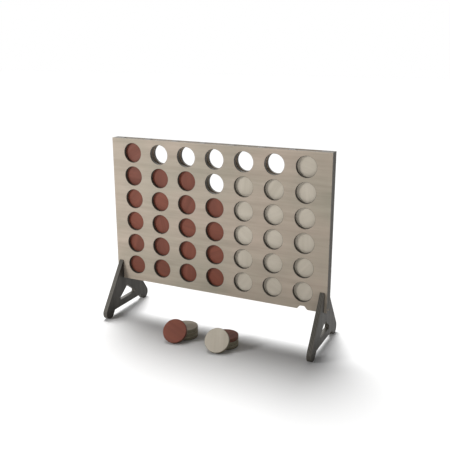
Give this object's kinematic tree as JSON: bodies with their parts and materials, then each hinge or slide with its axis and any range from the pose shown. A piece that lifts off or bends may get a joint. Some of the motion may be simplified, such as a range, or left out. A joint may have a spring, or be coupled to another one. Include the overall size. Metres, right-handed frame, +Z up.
{
  "type": "giant four in a row",
  "caption": "Upright board of two drilled panels with disc channels between them, lift-off A-frame legs, pull-out release bar and loose wooden discs.",
  "frame": {"origin": "centre of the whole set's footprint, at ground level", "axes": "+X along the board to the players' right, +Y from the front players' side to the back, +Z up"},
  "size_m": [0.914, 0.3922, 0.736],
  "materials": {
    "panel_wash": "whitewashed plywood, matt",
    "batten_wood": "bare strips, shaded, matt",
    "bar_wood": "washed slat, matt",
    "leg_stain": "dark stained plywood, satin",
    "disc_red": "red-brown stain, satin",
    "disc_white": "white wash, satin",
    "screw_steel": "painted over"
  },
  "bodies": {
    "board": {"front_panel": "panel_wash", "back_panel": "panel_wash", "left_stile": "batten_wood", "right_stile": "batten_wood", "divider_1": "batten_wood", "divider_2": "batten_wood", "divider_3": "batten_wood", "divider_4": "batten_wood", "divider_5": "batten_wood", "divider_6": "batten_wood", "front_screws": "screw_steel", "back_screws": "screw_steel"},
    "release_bar": {"release_bar": "bar_wood"},
    "left_leg": {"left_leg": "leg_stain"},
    "right_leg": {"right_leg": "leg_stain"},
    "column_1_discs": {"disc_c1_r1": "disc_red", "disc_c1_r2": "disc_red", "disc_c1_r3": "disc_red", "disc_c1_r4": "disc_red", "disc_c1_r5": "disc_red"},
    "column_1_top_disc": {"disc_c1_r6": "disc_red"},
    "column_2_discs": {"disc_c2_r1": "disc_red", "disc_c2_r2": "disc_red", "disc_c2_r3": "disc_red", "disc_c2_r4": "disc_red"},
    "column_2_top_disc": {"disc_c2_r5": "disc_red"},
    "column_3_discs": {"disc_c3_r1": "disc_red", "disc_c3_r2": "disc_red", "disc_c3_r3": "disc_red", "disc_c3_r4": "disc_red"},
    "column_3_top_disc": {"disc_c3_r5": "disc_red"},
    "column_4_discs": {"disc_c4_r1": "disc_red", "disc_c4_r2": "disc_red", "disc_c4_r3": "disc_red"},
    "column_4_top_disc": {"disc_c4_r4": "disc_red"},
    "column_5_discs": {"disc_c5_r1": "disc_white", "disc_c5_r2": "disc_white", "disc_c5_r3": "disc_white", "disc_c5_r4": "disc_white"},
    "column_5_top_disc": {"disc_c5_r5": "disc_white"},
    "column_6_discs": {"disc_c6_r1": "disc_white", "disc_c6_r2": "disc_white", "disc_c6_r3": "disc_white", "disc_c6_r4": "disc_white"},
    "column_6_top_disc": {"disc_c6_r5": "disc_white"},
    "column_7_discs": {"disc_c7_r1": "disc_white", "disc_c7_r2": "disc_white", "disc_c7_r3": "disc_white", "disc_c7_r4": "disc_white", "disc_c7_r5": "disc_white"},
    "column_7_top_disc": {"disc_c7_r6": "disc_white"},
    "left_stack": {"left_stack_disc_1": "disc_white", "left_stack_disc_2": "disc_white", "left_stack_disc_3": "disc_white"},
    "left_leaning_disc": {"left_leaning_disc": "disc_red"},
    "right_stack": {"right_stack_disc_1": "disc_white", "right_stack_disc_2": "disc_white", "right_stack_disc_3": "disc_red"},
    "right_leaning_disc": {"right_leaning_disc": "disc_white"}
  },
  "joints": [
    {"name": "release_bar_slide", "type": "slide", "parent": "board", "child": "release_bar", "axis": [1, 0, 0], "range_m": [0, 0.82]},
    {"name": "left_leg_lift_off", "type": "slide", "parent": "board", "child": "left_leg", "axis": [0, 0, -1], "range_m": [0, 0.1]},
    {"name": "right_leg_lift_off", "type": "slide", "parent": "board", "child": "right_leg", "axis": [0, 0, -1], "range_m": [0, 0.1]},
    {"name": "column_1_lift", "type": "slide", "parent": "board", "child": "column_1_discs", "axis": [0, 0, 1], "range_m": [0, 0.58]},
    {"name": "column_1_top_disc_lift", "type": "slide", "parent": "column_1_discs", "child": "column_1_top_disc", "axis": [0, 0, 1], "range_m": [0, 0.11]},
    {"name": "column_2_lift", "type": "slide", "parent": "board", "child": "column_2_discs", "axis": [0, 0, 1], "range_m": [0, 0.58]},
    {"name": "column_2_top_disc_lift", "type": "slide", "parent": "column_2_discs", "child": "column_2_top_disc", "axis": [0, 0, 1], "range_m": [0, 0.21]},
    {"name": "column_3_lift", "type": "slide", "parent": "board", "child": "column_3_discs", "axis": [0, 0, 1], "range_m": [0, 0.58]},
    {"name": "column_3_top_disc_lift", "type": "slide", "parent": "column_3_discs", "child": "column_3_top_disc", "axis": [0, 0, 1], "range_m": [0, 0.21]},
    {"name": "column_4_lift", "type": "slide", "parent": "board", "child": "column_4_discs", "axis": [0, 0, 1], "range_m": [0, 0.58]},
    {"name": "column_4_top_disc_lift", "type": "slide", "parent": "column_4_discs", "child": "column_4_top_disc", "axis": [0, 0, 1], "range_m": [0, 0.3]},
    {"name": "column_5_lift", "type": "slide", "parent": "board", "child": "column_5_discs", "axis": [0, 0, 1], "range_m": [0, 0.58]},
    {"name": "column_5_top_disc_lift", "type": "slide", "parent": "column_5_discs", "child": "column_5_top_disc", "axis": [0, 0, 1], "range_m": [0, 0.21]},
    {"name": "column_6_lift", "type": "slide", "parent": "board", "child": "column_6_discs", "axis": [0, 0, 1], "range_m": [0, 0.58]},
    {"name": "column_6_top_disc_lift", "type": "slide", "parent": "column_6_discs", "child": "column_6_top_disc", "axis": [0, 0, 1], "range_m": [0, 0.21]},
    {"name": "column_7_lift", "type": "slide", "parent": "board", "child": "column_7_discs", "axis": [0, 0, 1], "range_m": [0, 0.58]},
    {"name": "column_7_top_disc_lift", "type": "slide", "parent": "column_7_discs", "child": "column_7_top_disc", "axis": [0, 0, 1], "range_m": [0, 0.11]},
    {"name": "left_stack_lift", "type": "slide", "parent": "board", "child": "left_stack", "axis": [0, 0, 1], "range_m": [0, 0.15]},
    {"name": "left_leaning_disc_lift", "type": "slide", "parent": "left_stack", "child": "left_leaning_disc", "axis": [-0.1054, 0.5979, 0.7946], "range_m": [0, 0.12]},
    {"name": "right_stack_lift", "type": "slide", "parent": "board", "child": "right_stack", "axis": [0, 0, 1], "range_m": [0, 0.15]},
    {"name": "right_leaning_disc_lift", "type": "slide", "parent": "right_stack", "child": "right_leaning_disc", "axis": [-0.1054, 0.5979, 0.7946], "range_m": [0, 0.12]}
  ]
}
